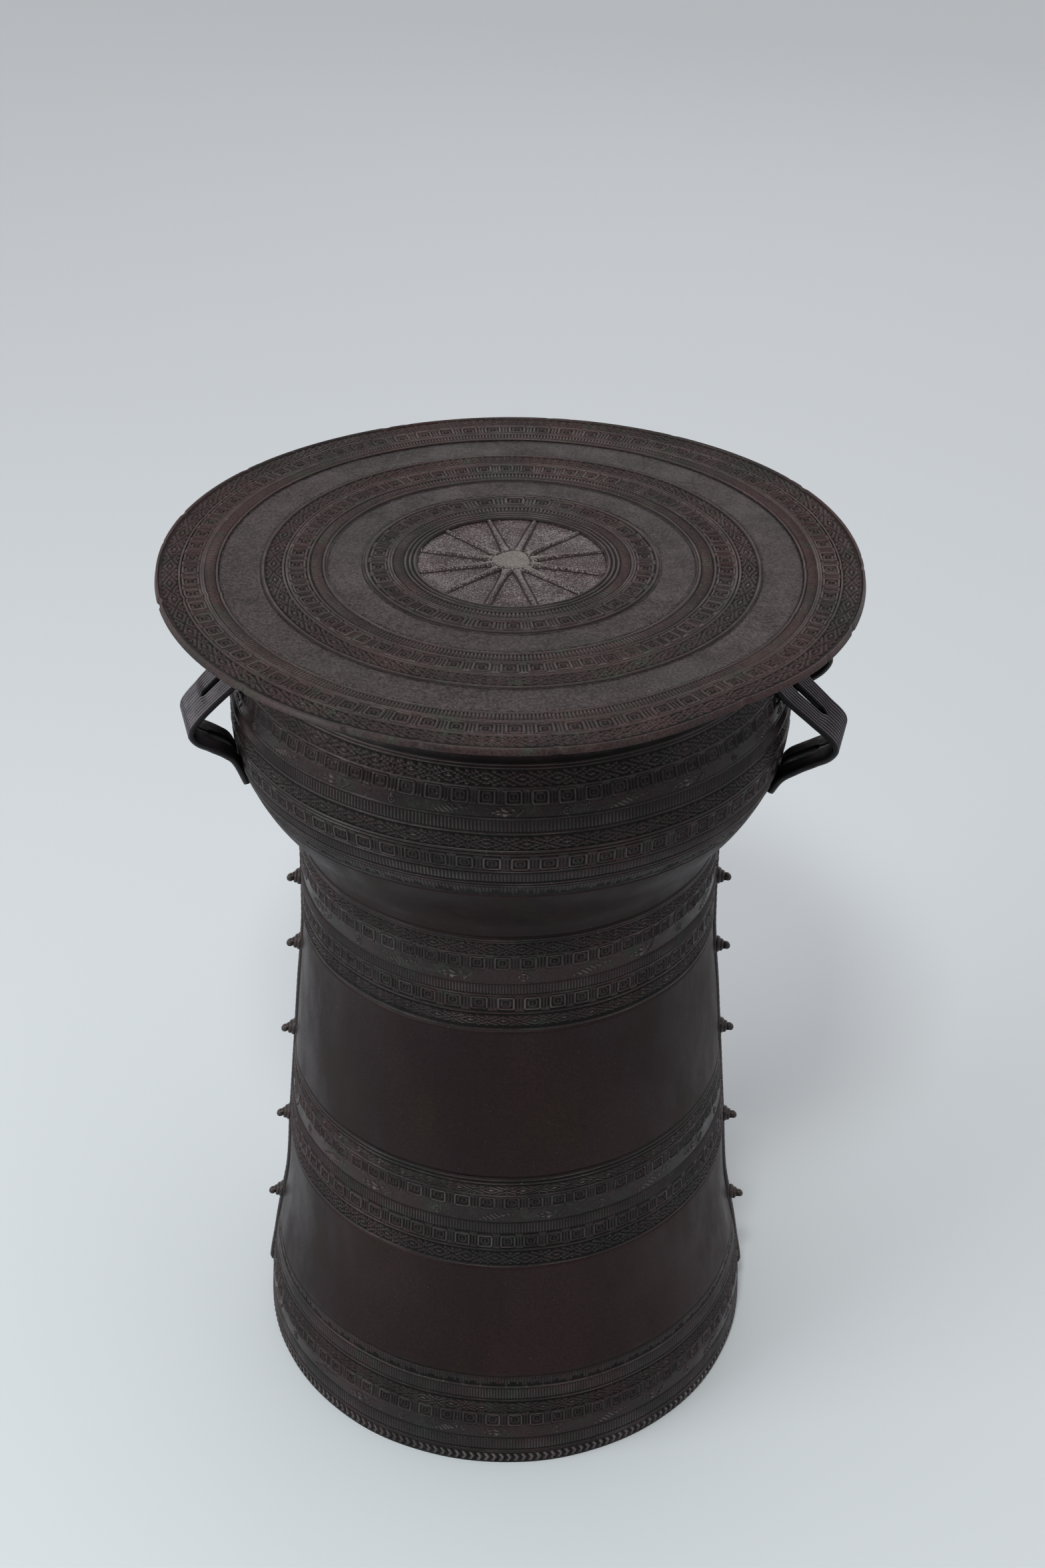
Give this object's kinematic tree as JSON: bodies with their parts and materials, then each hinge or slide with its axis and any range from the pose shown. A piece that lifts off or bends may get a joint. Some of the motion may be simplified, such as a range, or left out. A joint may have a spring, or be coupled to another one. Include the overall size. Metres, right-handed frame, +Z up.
{
  "type": "bronze rain drum",
  "caption": "Cast bronze kettle drum with a flat star-and-ring head, bulging mantle, narrow waist, open foot, strap handles and snail-stud seam strips.",
  "frame": {"origin": "on the floor, under the middle of the drum, in the plane of the foot rim", "axes": "+Z up along the drum's axis, -Y the front, -X the left side with one pair of handles and one seam strip"},
  "size_m": [0.464, 0.464, 0.66],
  "materials": {
    "head_bronze": "dusty matt grey-brown cast bronze with worn bright rim and ridges",
    "body_bronze": "dark chocolate patina, semi-gloss on plain bands, verdigris and brass wear in the ornament",
    "handle_bronze": "dark slate patina, worn ribs",
    "seam_bronze": "dark patina, worn tips"
  },
  "bodies": {
    "root": {"drum_head": "head_bronze", "mantle": "body_bronze", "waist": "body_bronze", "handle_left_front": "handle_bronze", "handle_left_rear": "handle_bronze", "handle_right_front": "handle_bronze", "handle_right_rear": "handle_bronze", "seam_strip_left": "seam_bronze", "seam_strip_right": "seam_bronze", "mantle_seam_left": "seam_bronze", "mantle_seam_right": "seam_bronze", "snail_left_1": "seam_bronze", "snail_left_2": "seam_bronze", "snail_left_3": "seam_bronze", "snail_left_4": "seam_bronze", "snail_left_5": "seam_bronze", "snail_right_1": "seam_bronze", "snail_right_2": "seam_bronze", "snail_right_3": "seam_bronze", "snail_right_4": "seam_bronze", "snail_right_5": "seam_bronze"}
  },
  "joints": []
}
